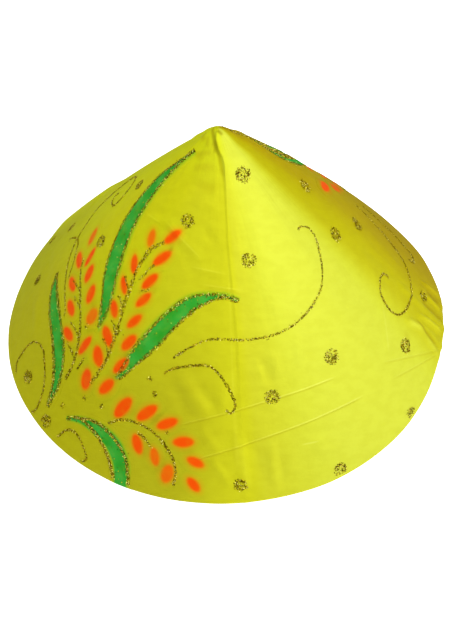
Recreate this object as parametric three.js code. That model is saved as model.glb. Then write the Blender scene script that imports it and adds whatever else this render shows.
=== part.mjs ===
// A Vietnamese conical hat covered with painted satin.
// Bamboo hoops carry a cone of palm leaf, and the cloth is stretched over it and
// rolled round the rim hoop.
// Sizes are in millimetres and angles in degrees. The hat stands on its rim, its axis
// is Z, and the front faces -Y. An azimuth is measured from the front towards +X.
// A slant is measured down the wall from the point that the cone would have unrounded,
// and a depth is measured from the outer face straight into the wall.
import * as THREE from 'three';

const WALL_RADIUS = 202.9; // where the wall would meet the ground with a sharp edge
const POINT_HEIGHT = 189.5; // of the unrounded point
const BULGE = 6.6; // how far the wall swells out half way down
const TIP_ROUND = 8;
const EDGE_ROUND = 2.2;
const CLOTH = 1;
const LEAF = 1;
const GAP = 0.3;
const HEM_END_ANGLE = 130; // where the cloth that is rolled round the rim hoop ends

const RIM_HOOP_SIZE = 4.4;
const RIM_HOOP_SIDES = 6;
const THIN_HOOP_SIZE = 2.4;
const THIN_HOOP_COUNT = 15;
const FIRST_HOOP_SLANT = 14;
const HOOP_SPACING = 16.8;
const COARSE_HOOP_SLANT = 80; // above it the hoops are small, and have fewer columns
const COARSE_HOOP_STEPS = 3; // of a column step, between the columns of such a hoop
const FINE_HOOP_STEPS = 2;

// Slants of the sections through which the wall is lofted.
const WALL_SECTIONS = [24, 60, 105, 155, 205, 245];
const OUTER_SECTIONS = [12, 24, 42, 60, 105, 155, 190, 205, 228, 245, 260];
const COLUMN_STEP = 6;
const TIP_STEPS = 2; // in the rounding of the cloth at the tip
const EDGE_STEPS = 2; // in the rounding of the cloth at the edge
const HEM_STEPS = 3; // round the rim hoop
const FOLD_COLUMNS = [1.5, 3, 4.5, 7.5, 68.5, 70.5, 74.5, 76.5, 82, 86];

// How far the wall stands out of round, half way down and at the rim.
const SWELL = [
  { azimuth: -180, middle: 0, rim: 0 },
  { azimuth: -150, middle: -0.8, rim: 0.4 },
  { azimuth: -127, middle: -1, rim: 1 },
  { azimuth: -103, middle: -0.8, rim: -1.5 },
  { azimuth: -66, middle: 0, rim: 0.9 },
  { azimuth: -30, middle: 0, rim: 0.6 },
  { azimuth: 8, middle: 0, rim: -0.4 },
  { azimuth: 24, middle: 0, rim: 0.5 },
  { azimuth: 38, middle: 0, rim: 0.3 },
  { azimuth: 64, middle: 0, rim: -0.8 },
  { azimuth: 80, middle: 0, rim: 1.3 },
  { azimuth: 90, middle: 0, rim: 2.6 },
  { azimuth: 100, middle: 0, rim: 2.6 },
  { azimuth: 118, middle: 0.3, rim: -0.4 },
  { azimuth: 145, middle: 0.8, rim: 0 },
  { azimuth: 180, middle: 0, rim: 0 },
];

// Folds of the cloth. Each runs down the wall from its start to its end, is highest along
// its middle, where it stands out by head at its start and by foot at its end, and
// dies away at half_width to either side.
const FOLDS = [
  { name: 'front_crease', azimuth: 4.5, start: 0, end: 300, half_width: 9, head: 1.8, foot: 0.5 },
  { name: 'back_crease', azimuth: 186, start: 0, end: 300, half_width: 9, head: 1.2, foot: 0.4 },
  { name: 'tip_pleat_1', azimuth: -34, start: 1, end: 44, half_width: 5, head: 1.6, foot: 0.2 },
  { name: 'tip_pleat_2', azimuth: -80, start: 1, end: 36, half_width: 5, head: 1.2, foot: 0.2 },
  { name: 'tip_pleat_3', azimuth: -132, start: 1, end: 40, half_width: 5, head: 1.6, foot: 0.2 },
  { name: 'tip_pleat_4', azimuth: 52, start: 1, end: 38, half_width: 5, head: 0.9, foot: 0.2 },
  { name: 'tip_pleat_5', azimuth: 96, start: 1, end: 34, half_width: 5, head: 1, foot: 0.2 },
  { name: 'tip_pleat_6', azimuth: 140, start: 1, end: 40, half_width: 5, head: 1.2, foot: 0.2 },
  { name: 'rim_ripple_1', azimuth: 70.5, start: 225, end: 300, half_width: 7, head: 0.8, foot: 0.8 },
  { name: 'rim_ripple_2', azimuth: 76.5, start: 195, end: 300, half_width: 7, head: 1, foot: 0.8 },
  { name: 'rim_ripple_3', azimuth: 84, start: 230, end: 300, half_width: 7, head: 0.8, foot: 0.8 },
  { name: 'left_shoulder', azimuth: -126, start: 165, end: 320, half_width: 34, head: 2, foot: 2.6 },
  { name: 'right_shoulder', azimuth: 128, start: 18, end: 120, half_width: 50, head: 1.4, foot: 0.8 },
];
const FOLD_RUN_IN = 12; // the length over which a fold rises or dies away at its ends

const CLOTH_YELLOW = new THREE.MeshStandardMaterial({ color: 0xdedc2c, roughness: 0.45, metalness: 0 });
const LEAF_STRAW = new THREE.MeshStandardMaterial({ color: 0xdccf9a, roughness: 0.7, metalness: 0 });
const BAMBOO = new THREE.MeshStandardMaterial({ color: 0xc6a163, roughness: 0.6, metalness: 0 });

const WALL_SLANT = Math.hypot(WALL_RADIUS, POINT_HEIGHT);
const LEAF_DEPTH = CLOTH + GAP;
const HOOP_DEPTH = LEAF_DEPTH + LEAF + GAP;
const radians = THREE.MathUtils.degToRad;
const lerp = THREE.MathUtils.lerp;

// How far the wall is out of round at an azimuth and slant.
function swellAt(azimuth, slant) {
  const turned = THREE.MathUtils.euclideanModulo(azimuth + 180, 360) - 180;
  const next = SWELL.findIndex((row) => row.azimuth > turned);
  const from = SWELL[next - 1];
  const to = SWELL[next];
  const share = THREE.MathUtils.smoothstep(turned, from.azimuth, to.azimuth);
  const middle = lerp(from.middle, to.middle, share);
  const rim = lerp(from.rim, to.rim, share);
  const t = slant / WALL_SLANT;
  return rim * t * t + middle * 4 * t * (1 - t);
}

// How far the folds lift the cloth off the wall.
function foldAt(azimuth, slant) {
  const radius = WALL_RADIUS * slant / WALL_SLANT;
  let lift = 0;
  for (const fold of FOLDS) {
    const turn = THREE.MathUtils.euclideanModulo(azimuth - fold.azimuth + 180, 360) - 180;
    const across = Math.abs(radians(turn)) * radius / fold.half_width;
    const begun = THREE.MathUtils.smoothstep(slant, fold.start, fold.start + FOLD_RUN_IN);
    const left = 1 - THREE.MathUtils.smoothstep(slant, fold.end - FOLD_RUN_IN, fold.end);
    const height = lerp(fold.head, fold.foot, (slant - fold.start) / (fold.end - fold.start));
    lift += height * begun * left * (1 - THREE.MathUtils.smoothstep(across, 0, 1));
  }
  return lift;
}

// A place on the wall in section: its radius and height, and the way that it faces.
function onWall(slant, depth) {
  const t = slant / WALL_SLANT;
  const spread = WALL_RADIUS + 4 * BULGE * (1 - 2 * t);
  const length = Math.hypot(spread, POINT_HEIGHT);
  const out = { r: POINT_HEIGHT / length, z: spread / length };
  const r = WALL_RADIUS * t + 4 * BULGE * t * (1 - t) - out.r * depth;
  const z = POINT_HEIGHT * (1 - t) - out.z * depth;
  return { r, z, out, slant };
}

// The slant at which a measure of the wall that grows down the slant becomes zero.
function slantWhere(measure) {
  let low = 0;
  let high = WALL_SLANT;
  for (let step = 0; step < 50; step += 1) {
    const middle = (low + high) / 2;
    if (measure(middle) < 0) low = middle;
    else high = middle;
  }
  return high;
}

const TIP_SLANT = slantWhere((slant) => onWall(slant, TIP_ROUND).r);
const EDGE_SLANT = slantWhere((slant) => EDGE_ROUND - onWall(slant, EDGE_ROUND).z);
const TIP_CENTRE = onWall(TIP_SLANT, TIP_ROUND);
const EDGE_CENTRE = onWall(EDGE_SLANT, EDGE_ROUND);
const LAYER_SECTIONS = [TIP_SLANT, ...WALL_SECTIONS, EDGE_SLANT];

// A place on an inner layer, which is straight between the wall's sections.
function onLayer(slant, depth) {
  const next = Math.max(1, LAYER_SECTIONS.findIndex((section) => section >= slant));
  const from = onWall(LAYER_SECTIONS[next - 1], depth);
  const to = onWall(LAYER_SECTIONS[next], depth);
  const share = (slant - from.slant) / (to.slant - from.slant);
  const r = lerp(from.r, to.r, share);
  const z = lerp(from.z, to.z, share);
  return { r, z, out: to.out, slant, between: [from.slant, to.slant, share] };
}

const RIM_HOOP_DEPTH = HOOP_DEPTH + RIM_HOOP_SIZE / 2;
const RIM_HOOP_HEIGHT = CLOTH + GAP + RIM_HOOP_SIZE / 2;
const RIM_HOOP_SLANT = slantWhere((slant) => RIM_HOOP_HEIGHT - onWall(slant, RIM_HOOP_DEPTH).z);
const RIM_HOOP_CENTRE = onWall(RIM_HOOP_SLANT, RIM_HOOP_DEPTH);

// An arc in section from one angle to another, each measured up from straight out.
function arc(centre, radius, from, to, steps, lifted) {
  const places = [];
  for (let step = 0; step <= steps; step += 1) {
    const angle = radians(lerp(from, to, step / steps));
    const out = { r: Math.cos(angle), z: Math.sin(angle) };
    const r = centre.r + radius * out.r;
    const z = centre.z + radius * out.z;
    places.push({ r, z, out, slant: centre.slant, lift: lifted * (1 - step / steps) });
  }
  return places;
}

function angleOf(out) {
  return THREE.MathUtils.radToDeg(Math.atan2(out.z, out.r));
}

// The rounded tip of a layer, from its middle out to where the straight wall begins.
function tipPlaces(depth, steps, lifted) {
  const places = arc(TIP_CENTRE, TIP_ROUND - depth, 90, angleOf(TIP_CENTRE.out), steps, 0);
  places.forEach((place, step) => {
    place.slant = TIP_SLANT * step / steps;
    place.lift = lifted;
  });
  return places;
}

function wallPlaces(sections, depth, lifted) {
  return sections.map((slant) => ({ ...onWall(slant, depth), lift: lifted }));
}

// The point of the hat at one of the even columns for a place in section, without folds.
function columnPoint(place, azimuth) {
  let swell = swellAt(azimuth, place.slant);
  if (place.between) {
    const [from, to, share] = place.between;
    swell = lerp(swellAt(azimuth, from), swellAt(azimuth, to), share);
  }
  const r = place.r + swell;
  return new THREE.Vector3(r * Math.sin(radians(azimuth)), -r * Math.cos(radians(azimuth)), place.z);
}

// The same at any azimuth, straight between the even columns, with the cloth's folds.
function pointAt(place, azimuth) {
  const before = Math.floor(azimuth / COLUMN_STEP) * COLUMN_STEP;
  const point = columnPoint(place, before);
  point.lerp(columnPoint(place, before + COLUMN_STEP), (azimuth - before) / COLUMN_STEP);
  if (!place.lift) return point;
  const angle = radians(azimuth);
  const out = new THREE.Vector3(place.out.r * Math.sin(angle), -place.out.r * Math.cos(angle), place.out.z);
  return point.addScaledVector(out, place.lift * foldAt(azimuth, place.slant));
}

// A closed body round the axis. Its section is listed clockwise, so that the outer face
// comes first, from the top down. A section that starts and ends on the axis has
// a point there, and any other closes on itself.
function turnedBody(section, azimuths, onAxis) {
  const points = [];
  const faces = [];
  const count = azimuths.length;
  const rings = onAxis ? section.slice(1, -1) : section;
  rings.forEach((place) => azimuths.forEach((azimuth) => points.push(pointAt(place, azimuth))));
  const bands = onAxis ? rings.length - 1 : rings.length;
  for (let band = 0; band < bands; band += 1) {
    const upper = band * count;
    const lower = ((band + 1) % rings.length) * count;
    for (let column = 0; column < count; column += 1) {
      const next = (column + 1) % count;
      faces.push(upper + column, lower + column, lower + next);
      faces.push(upper + column, lower + next, upper + next);
    }
  }
  if (onAxis) {
    const top = points.push(new THREE.Vector3(0, 0, section[0].z)) - 1;
    const under = points.push(new THREE.Vector3(0, 0, section[section.length - 1].z)) - 1;
    const last = (rings.length - 1) * count;
    for (let column = 0; column < count; column += 1) {
      const next = (column + 1) % count;
      faces.push(top, column, next);
      faces.push(under, last + next, last + column);
    }
  }
  const geometry = new THREE.BufferGeometry().setFromPoints(points);
  geometry.setIndex(faces);
  geometry.computeVertexNormals();
  return geometry;
}

// Columns all round, each a whole number of column steps wide.
function evenColumns(steps) {
  const columns = [];
  for (let azimuth = 0; azimuth < 360; azimuth += steps * COLUMN_STEP) columns.push(azimuth);
  return columns;
}

function named(name, geometry, material) {
  const mesh = new THREE.Mesh(geometry, material);
  mesh.name = name;
  return mesh;
}

// The satin cover: the wall, its rounded edge, and the hem rolled round the rim hoop.
function makeCover() {
  const wallAngle = angleOf(EDGE_CENTRE.out);
  const hemRadius = RIM_HOOP_SIZE / 2 + GAP;
  const hemEnd = HEM_END_ANGLE - 360;
  const section = [
    ...tipPlaces(0, TIP_STEPS, 1),
    ...wallPlaces(OUTER_SECTIONS, 0, 1),
    ...arc(EDGE_CENTRE, EDGE_ROUND, wallAngle, -90, EDGE_STEPS, 1),
    ...arc(RIM_HOOP_CENTRE, hemRadius + CLOTH, -90, hemEnd, HEM_STEPS, 0),
    ...arc(RIM_HOOP_CENTRE, hemRadius, hemEnd, -90, HEM_STEPS, 0),
    ...arc(EDGE_CENTRE, EDGE_ROUND - CLOTH, wallAngle, -90, 1, 1).reverse(),
    ...wallPlaces(WALL_SECTIONS, CLOTH, 1).reverse(),
    ...tipPlaces(CLOTH, TIP_STEPS, 1).reverse(),
  ];
  const azimuths = [...new Set([...evenColumns(1), ...FOLD_COLUMNS])].sort((a, b) => a - b);
  return named('cover', turnedBody(section, azimuths, true), CLOTH_YELLOW);
}

// The palm leaf cone that the cloth is stretched over.
function makeLeafCone() {
  const sections = [...WALL_SECTIONS, EDGE_SLANT];
  const section = [
    ...tipPlaces(LEAF_DEPTH, 1, 0),
    ...wallPlaces(sections, LEAF_DEPTH, 0),
    ...wallPlaces(sections, LEAF_DEPTH + LEAF, 0).reverse(),
    ...tipPlaces(LEAF_DEPTH + LEAF, 1, 0).reverse(),
  ];
  return named('leaf_cone', turnedBody(section, evenColumns(1), true), LEAF_STRAW);
}

// The thick hoop that keeps the rim open.
function makeRimHoop() {
  const turn = 360 / RIM_HOOP_SIDES;
  const section = arc(RIM_HOOP_CENTRE, RIM_HOOP_SIZE / 2, 90, 90 + turn - 360, RIM_HOOP_SIDES - 1, 0);
  return named('rim_hoop', turnedBody(section, evenColumns(1), false), BAMBOO);
}

// One of the thin split hoops inside the leaf cone, a square in section.
function makeThinHoop(number) {
  const slant = FIRST_HOOP_SLANT + (number - 1) * HOOP_SPACING;
  const above = slant - THIN_HOOP_SIZE / 2;
  const below = slant + THIN_HOOP_SIZE / 2;
  const section = [
    onLayer(above, HOOP_DEPTH),
    onLayer(below, HOOP_DEPTH),
    onLayer(below, HOOP_DEPTH + THIN_HOOP_SIZE),
    onLayer(above, HOOP_DEPTH + THIN_HOOP_SIZE),
  ];
  const columnSteps = slant > COARSE_HOOP_SLANT ? FINE_HOOP_STEPS : COARSE_HOOP_STEPS;
  const name = `hoop_${String(number).padStart(2, '0')}`;
  return named(name, turnedBody(section, evenColumns(columnSteps), false), BAMBOO);
}

const hat = new THREE.Group();
hat.add(makeCover(), makeLeafCone(), makeRimHoop());
for (let number = 1; number <= THIN_HOOP_COUNT; number += 1) hat.add(makeThinHoop(number));

// The origin lies on the ground under the middle of the hat.
const middle = new THREE.Box3().setFromObject(hat).getCenter(new THREE.Vector3());
hat.position.set(-middle.x, -middle.y, 0);

export default hat;
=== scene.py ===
import math
from collections import namedtuple

import bpy
import numpy as np
from mathutils import Matrix, Vector


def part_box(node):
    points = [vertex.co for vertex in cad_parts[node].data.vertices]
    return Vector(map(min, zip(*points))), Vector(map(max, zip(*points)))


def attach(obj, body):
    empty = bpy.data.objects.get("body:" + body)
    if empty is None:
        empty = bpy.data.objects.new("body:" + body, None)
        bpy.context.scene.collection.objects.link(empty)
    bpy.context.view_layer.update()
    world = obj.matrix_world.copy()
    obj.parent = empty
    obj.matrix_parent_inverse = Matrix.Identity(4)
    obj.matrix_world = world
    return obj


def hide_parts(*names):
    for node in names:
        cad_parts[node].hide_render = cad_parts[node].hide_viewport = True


# A Vietnamese conical hat under painted satin, on a pale floor.
# Sizes are in millimetres and angles in degrees until a mesh is made, in metres.
# An azimuth is measured round the hat from its front, which faces -Y, towards +X.
# A slant is measured down the wall from the point that the cone would have unrounded,
# and a depth is measured from the outer face of the cloth straight into the wall.
# A flat place is a place on the cloth laid out flat: x to the right and y down from
# the point, with the front of the hat straight down.
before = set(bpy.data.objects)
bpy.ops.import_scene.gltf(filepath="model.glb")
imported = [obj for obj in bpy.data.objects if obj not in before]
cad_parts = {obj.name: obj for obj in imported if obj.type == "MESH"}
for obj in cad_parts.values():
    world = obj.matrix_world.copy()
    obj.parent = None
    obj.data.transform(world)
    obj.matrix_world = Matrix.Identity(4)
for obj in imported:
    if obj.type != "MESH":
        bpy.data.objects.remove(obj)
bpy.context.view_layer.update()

MM = 0.001
TINY = 1e-6  # keeps a divisor above 0
HALVINGS = 50  # of the stretch of wall where a slant is looked for
PROBE_STEP = 0.4  # from a place on the cloth to those that show how it faces

Fold = namedtuple("Fold", "azimuth start end left right head foot sharp")
FoldPlace = namedtuple("FoldPlace", "slant azimuth left right height")
Wrinkle = namedtuple("Wrinkle", "x1 y1 x2 y2 half_width height")
PaintedLightStreak = namedtuple("PaintedLightStreak", "x1 y1 x2 y2 width share")
Swell = namedtuple("Swell", "azimuth middle rim")
Grain = namedtuple("Grain", "x y length width lean strength")
Crease = namedtuple("Crease", "x1 y1 x2 y2 height width")
Line = namedtuple("Line", "density width points")
Dot = namedtuple("Dot", "x y size")
Leaf = namedtuple("Leaf", "spray_left spray_right outline spine")
Motif = namedtuple("Motif", "name turn x y leaves grains lines dots")
PaintedSheenAndShade = namedtuple("PaintedSheenAndShade", "start end run_in run_out slant_start slant_full share")
Lamp = namedtuple("Lamp", "name azimuth height distance size power colour")


def table(kind, rows):
    """A named row for each row of numbers, which are in the order of its names."""
    return [kind(*row) for row in rows]


def moved(leaf, scale, across, down, widen):
    """A leaf drawn again in another place, smaller or larger, and wider."""
    spine = [(scale * x + across, scale * y + down, half * widen) for x, y, half in leaf.spine]
    return leaf._replace(spine=spine)


# The wall of the hat.
WALL_RADIUS = 202.9
POINT_HEIGHT = 189.5
BULGE = 6.6
TIP_ROUND = 8.0
EDGE_ROUND = 2.2
CLOTH = 1.0
LEAF = 1.0
GAP = 0.3
HEM_END_ANGLE = 130.0
HEM_STEPS = 8
INNER_HEM_STEPS = 5
RIM_HOOP_SIZE = 4.4
THIN_HOOP_SIZE = 2.4
THIN_HOOP_COUNT = 15
FIRST_HOOP_SLANT = 14.0
HOOP_SPACING = 16.8
WALL_SLANT = math.hypot(WALL_RADIUS, POINT_HEIGHT)
FLAT_SHARE = WALL_RADIUS / WALL_SLANT  # of a full turn that the cloth takes up laid flat
LEAF_DEPTH = CLOTH + GAP
HOOP_DEPTH = LEAF_DEPTH + LEAF + GAP

# How far the wall stands out of round, half way down and at the rim.
SWELLS = table(Swell, [
    (-180, 0, 0), (-150, -0.8, 0.4), (-127, -1, 1), (-103, -0.8, -1.5), (-66, 0, 0.9),
    (-30, 0, 0.6), (8, 0, -0.4), (24, 0, 0.5), (38, 0, 0.3), (64, 0, -0.8), (80, 0, 1.3),
    (90, 0, 2.6), (100, 0, 2.6), (118, 0.3, -0.4), (145, 0.8, 0), (180, 0, 0),
])

# Folds of the cloth, with how far each spreads to its left and right, and how high it
# stands at its upper and its lower end.
FOLDS = table(Fold, [
    (30, 2.5, 15, 2.2, 3, -1.2, -0.2, 0),
    (186, 4, 300, 6, 10, 1.2, 0.4, 0.5),
    (-34, 4, 44, 5, 5, 0.9, 0.2, 0),
    (-80, 4, 36, 5, 5, 0.9, 0.2, 0),
    (-132, 4, 40, 5, 5, 1.2, 0.2, 0),
    (58, 3, 20, 2.4, 2.4, 0.7, 0.1, 0),
    (96, 4, 34, 5, 5, 0.7, 0.2, 0),
    (140, 4, 40, 5, 5, 0.8, 0.2, 0),
    (70.5, 225, 300, 6, 7, 0.8, 0.8, 0),
    (76.5, 195, 300, 6, 7, 1, 0.8, 0),
    (84, 230, 300, 6, 7, 0.8, 0.8, 0),
    (-126, 165, 320, 34, 34, 2, 2.6, 0),
    (128, 18, 120, 50, 50, 1.4, 0.8, 0),
])
# The fold down the front wanders. At each slant, its azimuth, how far it spreads to its
# left and right, and its height.
FRONT_FOLD = table(FoldPlace, [
    (0, -10, 3, 6, 0), (6, -9.5, 2.6, 7, 1.5), (10, -9, 2.6, 8, 1.9), (17, 0, 2.6, 10, 1.9),
    (22, 8.5, 2.6, 11, 1.7), (27, 9.5, 2.2, 12, 1.4), (36, 7.5, 1.9, 13, 1.0),
    (48, 6, 1.7, 13, 0.7), (60, 4.8, 1.7, 13, 0.55), (80, 3.9, 1.8, 13, 0.5),
    (150, 4.1, 1.8, 13, 0.45), (182, 3.6, 2, 13, 0.4), (196, 3.4, 4, 9, 0.3), (280, 3, 5, 9, 0.3),
])
# Soft wrinkles from one flat place to another: ridges, and valleys with a height below 0.
WRINKLES = table(Wrinkle, [
    (-33, 171, -15, 206, 8, 1.1), (-40, 178, -27, 206, 7, -0.7), (-6, 172, -2, 205, 8, 0.7),
    (-20, 180, -7, 200, 6, -0.6), (-20, 212, -8, 234, 6, 0.9), (-14, 236, -1, 258, 5, 0.9),
    (5, 214, 10, 258, 7, 0.9), (16, 222, 24, 258, 9, -0.9), (30, 222, 32, 262, 6, 0.6),
    (36, 232, 39, 264, 6, -0.8), (50, 148, 51, 170, 4, 0.7), (24, 162, 30, 182, 5, -0.8),
    (32, 158, 36, 176, 5, 0.5), (60, 225, 74, 240, 7, 0.6), (124, 78, 172, 112, 9, -0.6),
    (146, 70, 182, 98, 9, 0.6), (118, 88, 149, 128, 9, 0.5), (134, 124, 134, 170, 5, 0.4),
    (164, 144, 188, 153, 6, 2.0), (178, 141, 209, 171, 4, -0.7), (185, 139, 220, 156, 5, 2.3),
    (195, 125, 232, 147, 5, -0.8), (207, 119, 232, 137, 4, 1.8), (212, 114, 234, 130, 4, -0.7),
    (213, 107, 243, 123, 5, 2.2), (184, 154, 206, 178, 6, 1.0), (-39, 61, -14, 90, 5, 0.8),
    (-19, 96, 0, 101, 3.5, 0.6), (-13, 108, 12, 113, 3, 0.5), (-53, 56, -40, 64, 3.5, 0.6),
    (-20, 38, -4, 42, 4, -0.6), (-18, 52, -2, 55, 4, 0.6), (-14, 66, -4, 80, 5, -0.6),
    (-27, 82, -16, 108, 6, -0.5), (-110, 150, -100, 190, 8, 0.8), (-190, 110, -175, 140, 9, 0.9),
    (-215, 60, -180, 90, 9, -0.7),
])
WRINKLE_START = (-0.15, 0.3)
WRINKLE_END = (0.7, 1.15)
FOLD_RUN_IN = 12.0
LOWEST_LIFT = -0.9  # the deepest that a valley sinks below the wall

# Waves too low to be folds: how many there are round the hat, how high, and turned by.
WAVES = [(9, 0.10, 20), (17, 0.07, 75), (31, 0.05, 140)]
WAVE_SWAY = 14.0
WAVE_SWAY_LENGTH = 31.0
WAVES_BEGIN = (30, 110)

# The gathers of the hem: how high, how many round the hat, and how they sway.
GATHER = 0.25
GATHER_COUNT = 83
GATHER_SWAY = 40.0
GATHER_SWAY_COUNT = 7

# Sharp marks left in the cloth where it lay folded, from one flat place to another.
CREASES = table(Crease, [
    (-38, 211, 82, 181, 0.25, 1.1),
    (-30, 239, 106, 198.5, 0.35, 1.1),
    (124, 176, 208, 172.5, 0.2, 1.1),
    (134, 190, 204, 175.5, 0.15, 1.1),
])
# Narrow streaks of painted light and shade: a painted highlight on the lit side of each
# crease and painted shade on its dull side, the same on the crests and bottoms of some folds,
# and painted shade beside the fold at the point. A share multiplies the cloth's colour.
# The shares of a painted highlight, painted shade, a strong painted highlight and deep painted
# shade.
LIT = (1.09, 1.09, 2.0)
PAINTED_SHADE = (0.93, 0.90, 0.8)
PAINTED_STRONG_HIGHLIGHT = (1.16, 1.20, 2.5)
PAINTED_DEEP_SHADE = (0.80, 0.73, 0.45)
PAINTED_LIGHT_STREAKS = table(PaintedLightStreak, [
    (-38, 210.4, 82, 180.4, 0.9, LIT), (-38, 211.8, 82, 181.8, 1.1, PAINTED_SHADE),
    (-30, 238.4, 106, 197.9, 0.9, LIT), (-30, 239.8, 106, 199.3, 1.2, PAINTED_SHADE),
    (124, 175.2, 208, 171.7, 0.9, (1.03, 1.03, 1.3)), (124, 176.6, 208, 173.1, 1.2, PAINTED_SHADE),
    (134, 189.2, 204, 174.7, 0.9, (1.03, 1.03, 1.3)), (134, 190.6, 204, 176.1, 1.2, PAINTED_SHADE),
    (51, 230.5, 67, 228.5, 1.1, LIT), (134.5, 124, 133.7, 172, 1.6, (1.04, 1.04, 1.4)),
    (-41, 59, -12, 92, 1.1, LIT), (-24, 94, 4, 101.5, 1.1, LIT), (-17, 107, 14, 113, 1.0, LIT),
    (-57, 54, -40, 65, 1.2, LIT), (3.7, 86, 3.7, 200, 1.1, (1.04, 1.04, 1.4)),
    (3.5, 170, 5, 250, 2.4, (1.05, 1.05, 1.4)), (5, 220, 14, 268, 5, (1.05, 1.05, 1.4)),
    (214, 107, 240, 122, 4, PAINTED_STRONG_HIGHLIGHT), (211, 114, 236, 131, 3.4, PAINTED_DEEP_SHADE),
    (206, 119, 232, 137, 3.4, PAINTED_STRONG_HIGHLIGHT), (193, 124, 234, 147, 4.6, PAINTED_DEEP_SHADE),
    (185, 139, 220, 156, 5, PAINTED_STRONG_HIGHLIGHT), (176, 141, 209, 171, 3.4, PAINTED_DEEP_SHADE),
    (164, 144, 188, 153, 5, PAINTED_STRONG_HIGHLIGHT), (156, 152, 166, 163, 5, PAINTED_SHADE),
    (184, 154, 206, 178, 4, (1.06, 1.08, 1.6)), (-5, -4, -1, 18, 2.4, (0.66, 0.60, 0.35)),
    (-2, 8, 3, 40, 2.0, (0.76, 0.70, 0.45)), (-1, 3, 3.2, 7.4, 2.0, (0.62, 0.56, 0.3)),
    (-3.4, 10, -1.6, 20, 3.0, (0.84, 0.78, 0.6)), (-12, 2.4, -10, 11, 3.8, (0.85, 0.79, 0.8)),
    (-7, 5, -7, 16, 2.6, (0.89, 0.84, 0.8)), (-17, 18, -9, 23, 3.6, (0.90, 0.86, 0.8)),
    (-20, 17, -1, 19, 3.4, (0.87, 0.82, 0.8)), (-20, 27, 0, 28, 4.5, (0.90, 0.86, 0.8)),
    (-18, 38, 0, 44, 6, (0.94, 0.91, 0.8)),
])
CREASE_FADE = 12.0

# The fineness of the cloth's mesh.
FIRST_COLUMN = -174.0
OPEN_COLUMN_STEP = 0.9
FINE_COLUMN_STEP = 0.36
FINE_COLUMNS = [(-11, 12), (60, 101)]
RING_STEP = 2.6
TIP_RING_STEP = 1.0
TIP_RINGS_END = 36.0
INNER_RING_STEP = 12.0
EDGE_RINGS = 5
INNER_TIP_SHARES = (0.6, 0.3)

# The painted rice ears, leaves and scrolls, charted on the flat cloth.
PAINT_LIFT = 0.10
GRAIN_LIFT = 0.16
CHIP_LIFT = 0.18
FILM_SUNK = -0.4  # how a film's border lies under the cloth
GRAIN_SOFT = 2.2  # how far a grain fades to each side of its edge
GRAIN_SPREAD = 0.5  # how far that edge lies outside the charted oval
GRAIN_HALO = 0.18  # the cover of the faint spray round a grain, and how far it goes
GRAIN_REACH = 5.2
LEAF_SOFT = 0.7  # how far a leaf fades to each side of its edge
SPRAY_COVER = 0.75
SPRAY_MARGIN = 15
FILM_STEP = 0.8
FILM_MARGIN = 5.0
FILM_SHARP = 50.0
LEAF_FILM_COLUMNS = 25
GRAIN_FILM_ROUND = 0.93
CURVE_STEP = 0.5
CURVE_FINENESS = 0.25

EAR_1 = table(Grain, [
    (-119.7, 64.2, 14.5, 8, 12, 0.8), (-130.2, 83.2, 15.8, 8, -30, 1),
    (-114.4, 82.6, 16.8, 5.5, 32, 1), (-111.4, 96.2, 14.8, 7.5, 27, 1),
    (-132.3, 103.2, 14.5, 7.5, -40, 1), (-106.6, 112.6, 15, 7.5, 24, 1),
    (-129.2, 122.8, 14.2, 8, -31, 1), (-104.2, 129.8, 14, 9, 42, 0.8),
    (-129.8, 143.5, 13.4, 8, -48, 1), (-110.5, 152.1, 17.9, 6.5, 43, 1),
    (-97.4, 160, 15.8, 9, -8, 1), (-109, 178.2, 16.6, 9.5, 18, 1),
])
EAR_2 = table(Grain, [
    (-50, 73.7, 12.6, 6, 17, 0.85), (-33.2, 73.7, 14.5, 6, 57, 1), (-41.6, 88.4, 16, 6.5, 58, 1),
    (-64.5, 91.5, 13.7, 6, 3, 1), (-51.5, 104.5, 15.4, 6.5, 52, 1),
    (-73.4, 106.8, 13.3, 5.5, -9, 1), (-57, 117.8, 14.6, 6, 52, 1),
    (-82.1, 124.2, 13, 6.5, -8, 1), (-64.7, 133.2, 14.3, 6, 54, 1), (-88.4, 144.7, 16, 8, -19, 1),
    (-69.8, 149, 15.3, 7.5, 49, 1), (-77.4, 166.3, 16, 7, 49, 1), (-90.5, 182.8, 15.8, 8, 50, 1),
])
EAR_3 = table(Grain, [
    (-77.4, 198.2, 20, 9, 43, 1), (-58.6, 201.3, 18.5, 8, 55, 1), (-44, 209.3, 16.3, 7.5, 69, 1),
    (-33, 223.5, 15, 8, 88, 1), (-25, 239.4, 13, 7, -60, 1), (-27.4, 257.4, 13, 7, -34, 1),
    (-67.7, 226, 15.4, 7.5, -10, 1), (-55, 235.4, 14, 6.5, -5, 0.85),
    (-46.4, 248.8, 15, 9, 20, 0.85),
])
SECOND_EARS_EXTRA = table(Grain, [
    (-102, 40, 23, 9, 20, 1), (-90.5, 66, 16, 10, 18, 1), (-121, 63, 21, 9, 28, 0.85),
])

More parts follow.
